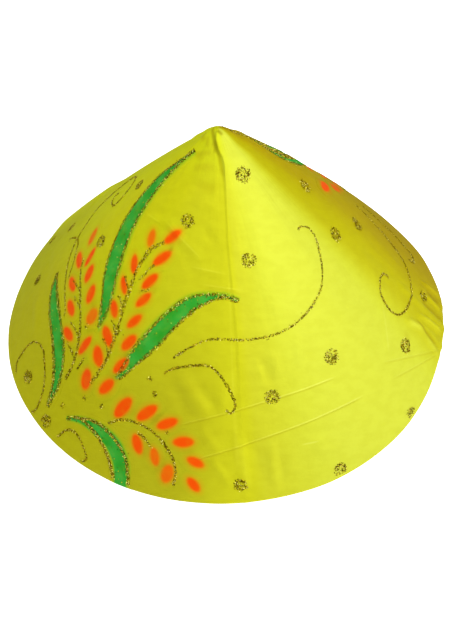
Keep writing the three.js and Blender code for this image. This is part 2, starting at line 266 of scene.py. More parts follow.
# Each leaf: how far green spray has gone past its left and right edge, how wide the glitter
# along its edges is, and its spine from its tip down, as flat places with half its width.
TALL_LEAF = Leaf(4.5, 1, 3.0, [
    (-17, 15, 0.3), (-26, 19, 0.9), (-34, 23, 1.9), (-50, 33, 4.7), (-69, 54, 6.4),
    (-79.5, 75, 6.8), (-86.5, 97, 6.4), (-90.5, 120, 4.2), (-95, 133, 1.6),
    (-97, 138, 0.4),
])
RIGHT_LEAF = Leaf(1, 4, 3.2, [
    (9.5, 120.5, 0.3), (3, 117.5, 0.8), (-5, 116.5, 1.5), (-21, 120.5, 4.5),
    (-37.4, 132.8, 5.7), (-52.6, 147.8, 6), (-64, 158.5, 4.8), (-75.3, 171, 2.4),
    (-81, 176, 0.6),
])
LEFT_LEAF = Leaf(2, 2, 4.4, [
    (-163.4, 90.5, 0.4), (-162, 99, 2.9), (-159.5, 108, 5.1), (-152, 125, 6.8),
    (-144, 143, 6.6), (-140, 162, 5.9), (-142, 182, 3.7), (-151.5, 203, 0.4),
])
RIM_LEAF = Leaf(3, 2, 0, [
    (-130.5, 210.8, 0.4), (-115.3, 211.3, 2.3), (-100.5, 217.1, 4.8),
    (-87.9, 227.6, 6.3), (-82.6, 243.4, 6), (-84.2, 258.2, 5), (-86, 264, 4.6),
])
SECOND_LEFT_LEAF = moved(LEFT_LEAF, scale=1, across=14, down=10, widen=1)
SECOND_TALL_LEAF = moved(TALL_LEAF, scale=0.95, across=-1.5, down=-2.6, widen=1.65)

# Lines of glitter: the chips in each square millimetre, the line's width and flat places.
LINES = [
    # The second ear's stem and its branches.
    Line(2.2, 3.6, [
        (-39.3, 77), (-45.4, 79.4), (-51.4, 82.3), (-58.1, 90.5), (-64, 99.7),
        (-68.1, 110.7), (-72.9, 120.1), (-75.6, 130.2), (-80.2, 140.2), (-83.2, 148.8),
        (-88.3, 160.3), (-94.7, 169.3), (-104.6, 181.5),
    ]),
    Line(1.8, 2.6, [(-47.5, 93), (-53.8, 97.7), (-59.7, 104)]),
    Line(2, 2.6, [(-72.5, 100), (-71, 105), (-68.5, 111)]),
    Line(2, 2.6, [(-78.5, 114), (-75.3, 119.8), (-77.3, 128)]),
    Line(2, 2.6, [(-84.5, 132), (-82.5, 137), (-80.5, 143)]),
    Line(2, 2.6, [(-92.5, 146.5), (-89, 153.8), (-88.4, 160)]),
    Line(1.4, 2.4, [(-50, 110), (-55, 111), (-60, 112)]),
    Line(1.4, 2.4, [(-74, 139), (-78, 141), (-80, 144)]),
    # The first ear's.
    Line(2.2, 3, [
        (-124.2, 82.4), (-123.2, 94.8), (-120.1, 107.3), (-117.8, 121.1),
        (-116.3, 134.1), (-117.3, 148.2), (-121.4, 163.9), (-131, 179.5),
    ]),
    Line(2, 2.4, [(-131.5, 100.5), (-125, 105), (-119.8, 109.5)]),
    Line(2, 2.4, [(-126.5, 114), (-122, 118.5), (-117.7, 123.4)]),
    Line(2, 2.4, [(-128, 134), (-121.5, 140), (-117.6, 147)]),
    Line(2, 2.4, [(-130.5, 150), (-124.5, 157.5), (-121.4, 164.5)]),
    Line(2, 2.4, [(-110.8, 161.5), (-118.5, 171)]),
    # The third ear's.
    Line(2.9, 2.4, [
        (-91, 211.3), (-78.4, 207.6), (-64.7, 210.3), (-52.1, 218.7), (-42.6, 234),
        (-40, 247), (-42.6, 258),
    ]),
    Line(2.4, 2.2, [(-66.8, 216.6), (-62, 221), (-56.8, 228.7)]),
    # The two edges of the leaf at the rim.
    Line(3.1, 3.5, [
        (-130.5, 210.8), (-117, 209.5), (-103.7, 219), (-95.3, 232), (-91, 246.6),
        (-89.5, 258),
    ]),
    Line(3.1, 3.3, [
        (-117, 209.5), (-107, 209.8), (-95.3, 214.5), (-83.7, 226.6), (-77.9, 239),
        (-77.4, 253), (-78, 262),
    ]),
    # The scrolls below the right leaf, at the left edge and at the rim.
    Line(2.6, 2.2, [
        (-44, 171.4), (-35.1, 167.2), (-15.3, 165.6), (-7.2, 170.3), (-1.4, 179.1),
        (3.5, 190), (5, 195), (3.5, 200.5), (1, 202), (-1.5, 199.5),
    ]),
    Line(2.6, 2.2, [
        (-199.5, 177.6), (-199.5, 167.1), (-187.9, 155.5), (-175.3, 150.3),
        (-161.6, 156), (-156.8, 171.3), (-157.4, 189.2), (-163.7, 202.9),
        (-169, 208.7), (-172.5, 208.2),
    ]),
    Line(2.6, 2.2, [
        (-141, 226.6), (-129, 219.7), (-119.5, 223.4), (-112.6, 238.2),
        (-113.7, 242.4), (-118.4, 244.5),
    ]),
]

# Lines that only the front of the hat has: scrolls right of the fold, above the ears and,
# in three parts, at the right edge, and an arc at the left edge.
FRONT_LINES = [
    Line(2.3, 2, [
        (-37.4, 160), (-22.1, 151.1), (-9.5, 146.8), (11.6, 148.2), (29.5, 146.5),
        (40, 143), (48, 139.5), (55, 134), (62, 127.5), (66, 122), (71, 114),
        (73.5, 100), (73, 90), (71, 77), (68, 72.5), (65, 69.5), (60, 69), (57, 69.5),
        (55, 72),
    ]),
    Line(2.4, 2.2, [
        (-107.9, 26.3), (-111, 25.3), (-113.7, 30.5), (-111, 35.3), (-102.6, 39),
        (-92.6, 29.5), (-89, 17.9), (-96.3, 11.6), (-106.8, 11.6), (-124.7, 19),
        (-139.5, 31.6), (-146.3, 47.4), (-151, 65.3), (-148.4, 84.2), (-142.1, 105.8),
        (-136.8, 121.6), (-136.3, 129),
    ]),
    Line(2.7, 2.6, [
        (152, 107), (147, 103.5), (141, 106), (137, 110), (135, 117), (135.5, 123),
        (138, 128), (142, 133.5), (147, 137), (154, 139), (160, 137.5), (167, 134.5),
        (178, 125), (184.5, 116), (189, 106), (191, 92), (188.5, 81),
    ]),
    Line(2.4, 4.2, [
        (188.5, 81), (185, 74), (180.5, 65), (175.5, 57), (168, 46.5), (156.6, 32.7),
    ]),
    Line(2.4, 4.2, [
        (183, 26), (200, 44.5), (214, 61), (223, 74), (221, 82), (214, 86), (207, 84),
    ]),
    Line(2.3, 2, [
        (-170, 55.8), (-156.3, 57.9), (-145.3, 64.2), (-139, 80), (-140, 97.9),
    ]),
]
# Lines that only the back has: a scroll, and glitter on the tip and the middle of a leaf.
BACK_LINES = [
    Line(2.3, 2, [
        (-37.4, 160), (-22.1, 151.1), (-9.5, 146.8), (8, 150), (16, 160), (14, 168),
    ]),
    Line(3.4, 3, [(-27, 16), (-18, 12), (-9, 6), (0, 0)]),
    Line(2.2, 10, [(-32, 17), (-49, 28), (-64, 44), (-73, 61)]),
]

DOTS = table(Dot, [
    (-22.5, 63.5, 9.5), (17, 92, 10), (31, 191.5, 11), (7, 258.5, 10), (-54.7, 175.3, 3.5),
    (-51.5, 187.2, 4), (-95.8, 198.7, 3.5), (-111.6, 192.9, 3.5), (-134.2, 200.8, 3.5),
    (-44.7, 216, 3), (-109.5, 137.4, 3.5), (-153.5, 214.8, 11), (-179.5, 180.4, 12),
])
FRONT_DOTS = table(Dot, [
    (15.5, 33, 11), (-104, 70.8, 10), (-75.3, 27.9, 8.5), (75, 35, 11), (94, 73.5, 12),
    (131, 60, 12), (77, 165.5, 12), (156.5, 165, 13), (204, 121.8, 10.5), (83.2, 254, 10.5),
    (155, 221, 11), (-206.5, 91, 11), (-188, 37, 10), (-240, 36, 10),
])

# The motif is painted on the front, and again on the back, turned and a little moved.
MOTIFS = [
    Motif(
        "front", 0.0, 0.0, 0.0,
        [TALL_LEAF, RIGHT_LEAF, LEFT_LEAF, RIM_LEAF],
        EAR_1 + EAR_2 + EAR_3,
        LINES + FRONT_LINES,
        DOTS + FRONT_DOTS,
    ),
    Motif(
        "back", 199.0, -4.5, 3.0,
        [SECOND_TALL_LEAF, RIGHT_LEAF, SECOND_LEFT_LEAF, RIM_LEAF],
        EAR_1 + EAR_2 + EAR_3 + SECOND_EARS_EXTRA,
        LINES + BACK_LINES,
        DOTS,
    ),
]

# Glitter is small chips, scattered over lines, dots and leaves.
SCATTER_START = 7
CHIP_SIZE = (0.6, 1.3)
CHIP_HEIGHT = (0.16, 0.36)
CHIP_LEAN = 0.16
DOT_DENSITY = 2.3
OUTLINE_DENSITY = 2.1
LEAF_DUST = 0.05  # chips in each square millimetre of a leaf
FLOW_CHANGE = 0.15  # how much narrower a line gets and how far on, as the glue ran
FLOW_LENGTH = 6.0
FLOW_TURN = 6.0  # the most that this starts turned by, in radians
BAND_SHARE = 0.45  # of a line's width, to each side of it
STRAY_SHARE = 0.012  # of a line's chips, which fell beside it
STRAY_REACH = 1.6
CLUMPS_IN_SIZE = 3  # clumps in a dot for each millimetre that it is wide
CLUMP_BIAS = 0.42
CLUMP_REACH = 0.92
LOOSE_SHARE = 0.65  # of a dot's chips, which are in no clump
LOOSE_BIAS = 0.4
DOT_JITTER = 0.45
# Each tone is a colour and its share of the chips: the middle ones are the glitter's bronze and
# gold, the darkest are painted shade as of chips that mirror dark surroundings, and the palest are
# painted glints.
CHIP_COLOURS_AND_PAINTED_GLINTS = [
    ((0.065, 0.034, 0.0006), 0.36),
    ((0.170, 0.105, 0.002), 0.26),
    ((0.360, 0.240, 0.004), 0.14),
    ((0.800, 0.640, 0.020), 0.13),
    ((1.000, 0.940, 0.200), 0.12),
]

SATIN_YELLOW = (0.580, 0.618, 0.004)
SATIN_DULL = (0.558, 0.590, 0.0035)
SATIN_SLUB = (0.68, 0.72, 0.02)
# Painted sheen and shade: the cloth made paler where the lamps light it and darker where it
# turns from them, between the azimuths start and end with a run at each: how it multiplies the
# yellow, and the slants where that begins and is full.
PAINTED_SHEEN_AND_SHADE = table(PaintedSheenAndShade, [
    (-50, 88, 30, 34, -60, 0, (1.0, 1.0, 2.6)),
    (4, 88, 4, 34, -60, 0, (1.0, 1.0, 1.9)),
    (5, 88, 26, 34, -60, 0, (1.02, 1.02, 2.3)),
    (-105, 24, 25, 22, 10, 50, (0.995, 0.935, 1.0)),
    (50, 100, 14, 25, 170, 60, (0.93, 0.91, 0.7)),
    (60, 164, 14, 28, -60, 0, (0.84, 0.74, 0.30)),
    (74, 164, 26, 28, -60, 0, (0.88, 0.72, 0.30)),
    (76, 164, 9, 28, 120, 220, (0.91, 0.86, 0.60)),
    (-126, 2, 16, 16, 90, 240, (0.79, 0.76, 0.80)),
])
SATIN_CLOUD = 9.0
SATIN_WARP = (2600.0, 260.0, 1.0)
SATIN_WEFT = (110.0, 1100.0, 1.0)
SATIN_DRAPE = (9.0, 9.0)
SATIN_RUCK = (85.0, 100.0, 1.0)
SATIN_BLOTCH = (90.0, 140.0, 1.0)
SATIN_TONE_RAMP = (0.34, 0.64)
SATIN_SLUB_RAMP = (0.52, 0.74, 0.0, 0.10)
WEAVE_HEIGHT = 0.014
CLOUD_HEIGHT = 1.1
RUCK_HEIGHT = 0.55
DRAPE_HEIGHT = 0.5
SATIN_TINT = (1.0, 1.0, 0.25)
PAINT_WEAR = 160.0
PAINT_WEAR_RAMP = (0.25, 0.6, 0.90, 1.0)
LEAF_GREEN = (0.030, 0.370, 0.030)
LEAF_MOTTLE = (0.28, 0.11, 0.42)
# Two waves of the mottle: a share, a length, a sway, and the length of the sway.
MOTTLE_WAVES = [(0.6, 2.9, 1.7, 7.3), (0.4, 2.3, 1.3, 5.9)]
SPRAY_GREEN = (0.17, 0.47, 0.012)
GRAIN_ORANGE = (0.87, 0.079, 0.0003)
CHIP_TINT = (1.0, 0.75, 0.1)

# The palm leaf's strips, and the split cane of the hoops.
LEAF_COUNT = 28
LEAF_COLUMNS = 10
LEAF_RINGS = 44
LEAF_TIP_SLANTS = [4, 8]
LEAF_WALL_START = 20.0
LEAF_THINNEST = 0.75
LEAF_FADE = 60.0  # above this slant the relief of the strips dies away
RIB_HEIGHT = 0.096
LAP_HEIGHT = 0.15
PALM_FIBRE = (300.0, 14.0)
PALM_FIBRE_RAMP = (0.3, 0.7)
PALM_FIBRE_HEIGHT = 0.35
PALM_BLOTCH = 26.0
PALM_BLOTCH_RAMP = (0.58, 0.74, 0.0, 0.35)
PALM_DULL = (0.60, 0.49, 0.28)
PALM_PALE = (0.78, 0.69, 0.46)
PALM_BROWN = (0.42, 0.30, 0.13)
RIM_HOOP_STEPS = 240
RIM_HOOP_SIDES = 12
THIN_HOOP_LEAST_STEPS = 40
THIN_HOOP_SIDES = 8
CANE_SHARE = 0.94  # of the hoop's size in the frame
KNOT_SPACING = 170.0
KNOT_SHARE = 0.1
KNOT_LENGTH = 2.2
KNOT_START = 11
CANE_FIBRE = (90.0, 90.0, 1600.0)
CANE_FIBRE_RAMP = (0.3, 0.7)
CANE_FIBRE_HEIGHT = 0.2
CANE_CLOUD = 18.0
CANE_CLOUD_RAMP = (0.35, 0.7, 0.0, 0.4)
CANE_DARK = (0.42, 0.26, 0.10)
CANE_BROWN = (0.62, 0.43, 0.19)
CANE_PALE = (0.72, 0.56, 0.30)

# The camera stands where the photograph's stood, by a fit to the hat's outline. Places are
# round the hat's axis. The sizes of the floor and the lamps are in metres.
CAMERA_PLACE = (0.0, -375.6, 435.5)
CAMERA_AIM = (0.16, 0.0, -22.5)
CAMERA_ROLL = 2.11
CAMERA_LENS = 34.66
CAMERA_SENSOR = 36.0
FLOOR_SIZE = 8.0
FLOOR_GREY = (0.94, 0.94, 0.94)
FLOOR_GLOW = 1.0
LAMP_AIM = (0, 0, 60)
WORLD_COLOUR = (1.0, 1.0, 1.0)
WORLD_STRENGTH = 0.3
LAMPS = [
    Lamp("key", 60, 1302, 1093, 1.2, 24.2, (1.0, 1.0, 1.0)),
    Lamp("left", -120, 1263, 1138, 1.2, 9.2, (1.0, 1.0, 1.0)),
    Lamp("top", -60, 1617, 525, 1.2, 4.0, (1.0, 1.0, 1.0)),
]

hoop_low, hoop_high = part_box("hoop_01")
AXIS = np.array(((hoop_low + hoop_high) / 2)[:2]) / MM


def smooth(value, low, high):
    """0 below low, 1 above high, and a soft run between them."""
    share = np.clip((value - low) / (high - low), 0.0, 1.0)
    return share * share * (3.0 - 2.0 * share)


def facing(slant):
    """The way that the wall faces at a slant, as its outward and upward parts."""
    spread = WALL_RADIUS + 4 * BULGE * (1 - 2 * slant / WALL_SLANT)
    length = np.hypot(spread, POINT_HEIGHT)
    return POINT_HEIGHT / length, spread / length


def on_wall(slant, depth):
    """The radius and height of a place on the wall."""
    t = slant / WALL_SLANT
    out, up = facing(slant)
    radius = WALL_RADIUS * t + 4 * BULGE * t * (1 - t) - out * depth
    return radius, POINT_HEIGHT * (1 - t) - up * depth


def slant_where(measure):
    """The slant at which a measure that grows down the wall becomes zero."""
    low, high = 0.0, WALL_SLANT
    for _ in range(HALVINGS):
        middle = (low + high) / 2
        if measure(middle) < 0:
            low = middle
        else:
            high = middle
    return high


def wall_angle(slant):
    out, up = facing(slant)
    return math.atan2(up, out)


TIP_SLANT = slant_where(lambda slant: on_wall(slant, TIP_ROUND)[0])
TIP_CENTRE = on_wall(TIP_SLANT, TIP_ROUND)
EDGE_SLANT = slant_where(lambda slant: EDGE_ROUND - on_wall(slant, EDGE_ROUND)[1])
EDGE_CENTRE = on_wall(EDGE_SLANT, EDGE_ROUND)
EDGE_ANGLE = wall_angle(EDGE_SLANT)
EDGE_END_SLANT = EDGE_SLANT + EDGE_ROUND * (EDGE_ANGLE + math.pi / 2)
RIM_HOOP_DEPTH = HOOP_DEPTH + RIM_HOOP_SIZE / 2
RIM_HOOP_HEIGHT = CLOTH + GAP + RIM_HOOP_SIZE / 2
RIM_HOOP_SLANT = slant_where(
    lambda slant: RIM_HOOP_HEIGHT - on_wall(slant, RIM_HOOP_DEPTH)[1]
)
RIM_HOOP_CENTRE = on_wall(RIM_HOOP_SLANT, RIM_HOOP_DEPTH)


def section(slant, depth):
    """A place in section, rounded at the tip and at the edge: radius, height, facing."""
    radius, height = on_wall(slant, depth)
    out, up = facing(slant)
    tip_share = np.clip(slant / TIP_SLANT, 0, 1)
    tip_turn = math.pi / 2 + (wall_angle(TIP_SLANT) - math.pi / 2) * tip_share
    edge_turn = np.maximum(EDGE_ANGLE - (slant - EDGE_SLANT) / EDGE_ROUND, -math.pi / 2)
    at_tip = slant < TIP_SLANT
    at_edge = slant > EDGE_SLANT
    turn = np.where(at_tip, tip_turn, edge_turn)
    rounding = np.where(at_tip, TIP_ROUND, EDGE_ROUND) - depth
    middle_radius = np.where(at_tip, TIP_CENTRE[0], EDGE_CENTRE[0])
    middle_height = np.where(at_tip, TIP_CENTRE[1], EDGE_CENTRE[1])
    rounded = at_tip | at_edge
    radius = np.where(rounded, middle_radius + rounding * np.cos(turn), radius)
    height = np.where(rounded, middle_height + rounding * np.sin(turn), height)
    out = np.where(rounded, np.cos(turn), out)
    up = np.where(rounded, np.sin(turn), up)
    return radius, height, out, up


def swell_at(azimuth, slant):
    """How far the wall is out of round."""
    turned = (azimuth + 180.0) % 360.0 - 180.0
    starts = np.array([row.azimuth for row in SWELLS], float)
    middles = np.array([row.middle for row in SWELLS], float)
    rims = np.array([row.rim for row in SWELLS], float)
    after = np.clip(np.searchsorted(starts, turned, side="right"), 1, len(SWELLS) - 1)
    share = smooth(turned, starts[after - 1], starts[after])
    middle = middles[after - 1] + (middles[after] - middles[after - 1]) * share
    rim = rims[after - 1] + (rims[after] - rims[after - 1]) * share
    t = np.minimum(slant, EDGE_SLANT) / WALL_SLANT
    return rim * t * t + middle * 4 * t * (1 - t)


def fold_profile(across, sharp):
    """A fold's height from its crest, at 0, out to where it dies away, at 1."""
    rounded = 1 - smooth(across, 0, 1)
    ridged = (1 - np.clip(across, 0, 1)) ** 2
    return rounded + (ridged - rounded) * sharp


def across_fold(azimuth, slant, middle, left, right):
    """How far across a fold a place is, from 0 at its crest to 1 at its side."""
    turn = (azimuth - middle + 180.0) % 360.0 - 180.0
    across = np.radians(turn) * WALL_RADIUS * slant / WALL_SLANT
    return np.where(across < 0, -across / left, across / right)


def wrinkle_at(flat, wrinkle):
    """How far a wrinkle lifts the cloth at flat places."""
    start = np.array([wrinkle.x1, wrinkle.y1])
    run = np.array([wrinkle.x2, wrinkle.y2]) - start
    length = np.linalg.norm(run)
    share = (flat - start) @ run / length ** 2
    apart = np.abs((flat - start) @ np.array([run[1], -run[0]])) / length
    ends = smooth(share, *WRINKLE_START) * (1 - smooth(share, *WRINKLE_END))
    return wrinkle.height * ends * (1 - smooth(apart, 0, wrinkle.half_width))


def fold_at(azimuth, slant):
    """How far the folds, wrinkles and waves lift the cloth off the wall."""
    slant = np.minimum(slant, EDGE_SLANT)
    azimuth, slant = np.broadcast_arrays(azimuth, slant)
    lift = np.zeros(azimuth.shape)
    for fold in FOLDS:
        across = across_fold(azimuth, slant, fold.azimuth, fold.left, fold.right)
        begun = smooth(slant, fold.start, fold.start + FOLD_RUN_IN)
        lasting = 1 - smooth(slant, fold.end - FOLD_RUN_IN, fold.end)
        share = (slant - fold.start) / (fold.end - fold.start)
        height = fold.head + (fold.foot - fold.head) * share
        lift = lift + height * begun * lasting * fold_profile(across, fold.sharp)
    slants, middles, lefts, rights, heights = zip(*FRONT_FOLD)
    middle = np.interp(slant, slants, middles)
    left = np.interp(slant, slants, lefts)
    right = np.interp(slant, slants, rights)
    across = across_fold(azimuth, slant, middle, left, right)
    lift = lift + np.interp(slant, slants, heights) * fold_profile(across, 1)
    flat = flat_place(azimuth, slant)
    for wrinkle in WRINKLES:
        lift = lift + wrinkle_at(flat, wrinkle)
    for count, height, turned in WAVES:
        sway = WAVE_SWAY * np.sin(slant / WAVE_SWAY_LENGTH)
        wave = np.sin(np.radians(azimuth * count + turned + sway))
        lift = lift + height * wave * smooth(slant, *WAVES_BEGIN)
    return np.maximum(lift, LOWEST_LIFT)


def cloth_point(azimuth, slant, lift=0.0):
    """The outer face of the cloth, or a place lifted off it, in millimetres."""
    azimuth, slant = np.broadcast_arrays(np.asarray(azimuth, float), np.asarray(slant, float))
    radius, height, out, up = section(slant, 0.0)
    edge_turn = np.arctan2(up, out)
    fade = np.where(
        slant > EDGE_SLANT,
        (edge_turn + math.pi / 2) / (EDGE_ANGLE + math.pi / 2),
        1.0,
    )
    raised = fold_at(azimuth, slant) * fade + lift
    radius = radius + swell_at(azimuth, slant) + out * raised
    height = height + up * raised
    return turned_point(azimuth, radius, height)


def turned_point(azimuth, radius, height):
    angle = np.radians(azimuth)
    return np.stack([radius * np.sin(angle), -radius * np.cos(angle), height + 0 * angle], -1)


def flat_place(azimuth, slant):
    """Where a place on the hat lies on the flat cloth."""
    angle = np.radians((azimuth + 180.0) % 360.0 - 180.0) * FLAT_SHARE
    return np.stack([slant * np.sin(angle), slant * np.cos(angle)], -1)


def hat_place(flat, motif):
    """The azimuth and slant of a flat place in a motif's chart."""
    x, y = flat[..., 0] + motif.x, flat[..., 1] + motif.y
    return np.degrees(np.arctan2(x, y)) / FLAT_SHARE + motif.turn, np.hypot(x, y)


def cloth_frame(azimuth, slant):
    """Unit vectors on the cloth: across it, down it and straight out of it."""
    here = cloth_point(azimuth, slant)
    turn = np.degrees(PROBE_STEP / np.maximum(slant * FLAT_SHARE, 1.0))
    across = cloth_point(azimuth + turn, slant) - here
    down = cloth_point(azimuth, slant + PROBE_STEP) - here
    out = np.cross(down, across)
    out /= np.linalg.norm(out, axis=-1, keepdims=True)
    across /= np.linalg.norm(across, axis=-1, keepdims=True)
    return across, np.cross(across, out), out


def mesh_object(name, points, faces, material, corner_flat=None, colours=None):
    """A smooth mesh from points in millimetres round the hat's axis, riding on the hat."""
    shifted = np.array(points, float)
    shifted[:, :2] += AXIS
    mesh = bpy.data.meshes.new(name)
    mesh.from_pydata((shifted * MM).tolist(), [], faces)
    mesh.validate()
    if colours is not None:
        layer = mesh.attributes.new("paint", "FLOAT_COLOR", "POINT")
        layer.data.foreach_set("color", np.asarray(colours, np.float32).ravel())
    if corner_flat is not None:
        corners = np.zeros(len(mesh.loops), np.int64)
        mesh.loops.foreach_get("vertex_index", corners)
        layer = mesh.attributes.new("flat_cloth", "FLOAT_VECTOR", "CORNER")
        flat = np.zeros((len(corners), 3), np.float32)
        flat[:, :2] = corner_flat[corners] * MM
        layer.data.foreach_set("vector", flat.ravel())
    mesh.shade_smooth()
    mesh.materials.append(material)
    piece = bpy.data.objects.new(name, mesh)
    bpy.context.scene.collection.objects.link(piece)
    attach(piece, "root")
    return piece


def grid_faces(rows, columns, closed):
    """Faces between neighbouring rows of points, all the way round where closed."""
    faces = []
    last = columns if closed else columns - 1
    for row in range(rows - 1):
        upper, lower = row * columns, (row + 1) * columns
        for column in range(last):
            after = (column + 1) % columns
            faces.append((upper + column, lower + column, lower + after, upper + after))
    return faces


def closed_wall(name, rings, slants, azimuths, ends, material):
    """A mesh of rings joined in turn, closed by a fan at its first ring and its last."""
    columns = len(azimuths)
    faces = grid_faces(len(rings), columns, True)
    first_end = len(rings) * columns
    last = first_end - columns
    for column in range(columns):
        after = (column + 1) % columns
        faces.append((first_end, column, after))
        faces.append((first_end + 1, last + after, last + column))
    flat = flat_place(np.tile(azimuths, len(rings)), np.repeat(slants, columns))
    flat = np.vstack([flat, np.zeros((2, 2))])
    return mesh_object(name, np.vstack(rings + ends), faces, material, corner_flat=flat)


# The satin cover.


def cloth_azimuths():
    """Columns of the cloth's mesh, close together where the folds are sharp."""
    azimuths = []
    azimuth = FIRST_COLUMN
    while azimuth < FIRST_COLUMN + 360 - OPEN_COLUMN_STEP / 3:
        azimuths.append(azimuth)
        fine = any(low <= azimuth <= high for low, high in FINE_COLUMNS)
        azimuth += FINE_COLUMN_STEP if fine else OPEN_COLUMN_STEP
    return np.array(azimuths)


def arc_rings(radius, start, end, steps, azimuths, gather):
    """Rings of the rolled hem, on an arc in section from one angle to another."""
    swell = swell_at(azimuths, RIM_HOOP_SLANT)
    sway = GATHER_SWAY * np.sin(np.radians(azimuths * GATHER_SWAY_COUNT))
    wave = 0.5 + 0.5 * np.sin(np.radians(azimuths * GATHER_COUNT + sway))
    rings = []
    for step in range(steps + 1):
        angle = math.radians(start + (end - start) * step / steps)
        reach = radius + gather * math.sin(math.pi * step / steps) * wave
        out = RIM_HOOP_CENTRE[0] + reach * math.cos(angle) + swell
        rings.append(turned_point(azimuths, out, RIM_HOOP_CENTRE[1] + reach * math.sin(angle)))
    return rings


def make_cover(material):
    """The cloth from its point down, round the rim hoop as a hem, and up its inner face."""
    azimuths = cloth_azimuths()
    wall_count = math.ceil((EDGE_SLANT - TIP_RINGS_END) / RING_STEP)
    outer = np.concatenate([
        np.arange(TIP_RING_STEP, TIP_RINGS_END, TIP_RING_STEP),
        np.linspace(TIP_RINGS_END, EDGE_SLANT, wall_count + 1),
        np.linspace(EDGE_SLANT, EDGE_END_SLANT, EDGE_RINGS + 1)[1:],
    ])
    hem = RIM_HOOP_SIZE / 2 + GAP
    hem_end = HEM_END_ANGLE - 360
    hem_rings = arc_rings(hem + CLOTH, -90, hem_end, HEM_STEPS, azimuths, GATHER)
    hem_rings += arc_rings(hem, hem_end, -90, INNER_HEM_STEPS, azimuths, 0.0)
    inner = np.concatenate([
        np.linspace(EDGE_SLANT, TIP_SLANT, math.ceil(EDGE_SLANT / INNER_RING_STEP)),
        TIP_SLANT * np.array(INNER_TIP_SHARES),
    ])
    rings = [cloth_point(azimuths, slant) for slant in outer] + hem_rings
    rings += [cloth_point(azimuths, slant, -CLOTH) for slant in inner]
    slants = np.concatenate([outer, np.full(len(hem_rings), WALL_SLANT), inner])
    ends = [cloth_point(0.0, 0.0)[None], cloth_point(0.0, 0.0, -CLOTH)[None]]
    return closed_wall("satin_cover", rings, slants, azimuths, ends, material)


# The paint.


def curve_through(points, step):
    """An even row of points on a smooth curve through a few given ones."""
    given = np.array(points, float)
    before = 2 * given[0] - given[1]
    after = 2 * given[-1] - given[-2]
    padded = np.vstack([before, given, after])
    made = []
    for index in range(1, len(padded) - 2):
        p0, p1, p2, p3 = padded[index - 1:index + 3]
        count = max(2, int(np.linalg.norm((p2 - p1)[:2]) / CURVE_FINENESS))
        t = np.linspace(0, 1, count, endpoint=False)[:, None]
        made.append(
            0.5 * (
                2 * p1 + (p2 - p0) * t
                + (2 * p0 - 5 * p1 + 4 * p2 - p3) * t ** 2
                + (3 * p1 - p0 - 3 * p2 + p3) * t ** 3
            )
        )
    made.append(given[-1:])
    dense = np.vstack(made)
    lengths = np.concatenate(
        [[0], np.cumsum(np.linalg.norm(np.diff(dense[:, :2], axis=0), axis=1))]
    )
    wanted = np.linspace(0, lengths[-1], max(3, int(lengths[-1] / step) + 1))
    return np.stack(
        [np.interp(wanted, lengths, dense[:, axis]) for axis in range(dense.shape[1])], -1
    )


def sideways(curve):
    """Unit vectors to the left of a flat curve as it runs on."""
    ahead = np.gradient(curve[:, :2], axis=0)
    ahead /= np.linalg.norm(ahead, axis=1, keepdims=True)
    return np.stack([ahead[:, 1], -ahead[:, 0]], -1)


def leaf_paint(flat, leaves):
    """How much green leaf and green spray there is at flat places."""
    green = np.zeros(len(flat))
    spray = np.zeros(len(flat))
    for leaf in leaves:
        curve = curve_through(leaf.spine, CURVE_STEP)
        low = curve[:, :2].min(0) - SPRAY_MARGIN
        high = curve[:, :2].max(0) + SPRAY_MARGIN
        near = np.where(((flat > low) & (flat < high)).all(1))[0]
        if len(near) == 0:
            continue
        apart = flat[near][:, None, :] - curve[None, :, :2]
        distance = np.linalg.norm(apart, axis=2)
        edge = distance - curve[None, :, 2]
        nearest = edge.argmin(1)
        picked = np.arange(len(near))
        side = (apart[picked, nearest] * sideways(curve)[nearest]).sum(1)
        edge = edge[picked, nearest]
        reach = np.where(side > 0, leaf.spray_left, leaf.spray_right)
        green[near] = np.maximum(green[near], 1 - smooth(edge, -LEAF_SOFT, LEAF_SOFT))
        spray[near] = np.maximum(spray[near], SPRAY_COVER * (1 - smooth(edge, 0, reach)))
    return green, spray


def grain_axes(grain):
    """A grain's middle, and the ways along it and across it."""
    lean = math.radians(grain.lean)
    along = np.array([math.sin(lean), -math.cos(lean)])
    return np.array([grain.x, grain.y]), along, np.array([along[1], -along[0]])


def grain_paint(flat, grains):
    """How much orange there is at flat places."""
    orange = np.zeros(len(flat))
    for grain in grains:
        centre, along, across = grain_axes(grain)
        apart = flat - centre
        share = np.hypot(
            apart @ along / (grain.length / 2), apart @ across / (grain.width / 2)
        )
        distance = np.linalg.norm(apart, axis=1)
        radius = np.maximum(distance / np.maximum(share, TINY), grain.width / 2)
        edge = (share - 1) * radius - GRAIN_SPREAD
        amount = grain.strength * (1 - smooth(edge, -GRAIN_SOFT, GRAIN_SOFT))
        halo = GRAIN_HALO * (1 - smooth(edge, 0, GRAIN_REACH))
        orange = np.maximum(orange, np.maximum(amount, halo))
    return orange


def mottle(flat):
    """The slow unevenness of sprayed paint at flat places, from -1 to 1."""
    x, y = flat[:, 0], flat[:, 1]
    total = np.zeros(len(flat))
    for wave, (ahead, aside) in zip(MOTTLE_WAVES, ((x, y), (y, x))):
        share, length, sway, sway_length = wave
        total += share * np.sin(ahead / length + sway * np.sin(aside / sway_length))
    return total


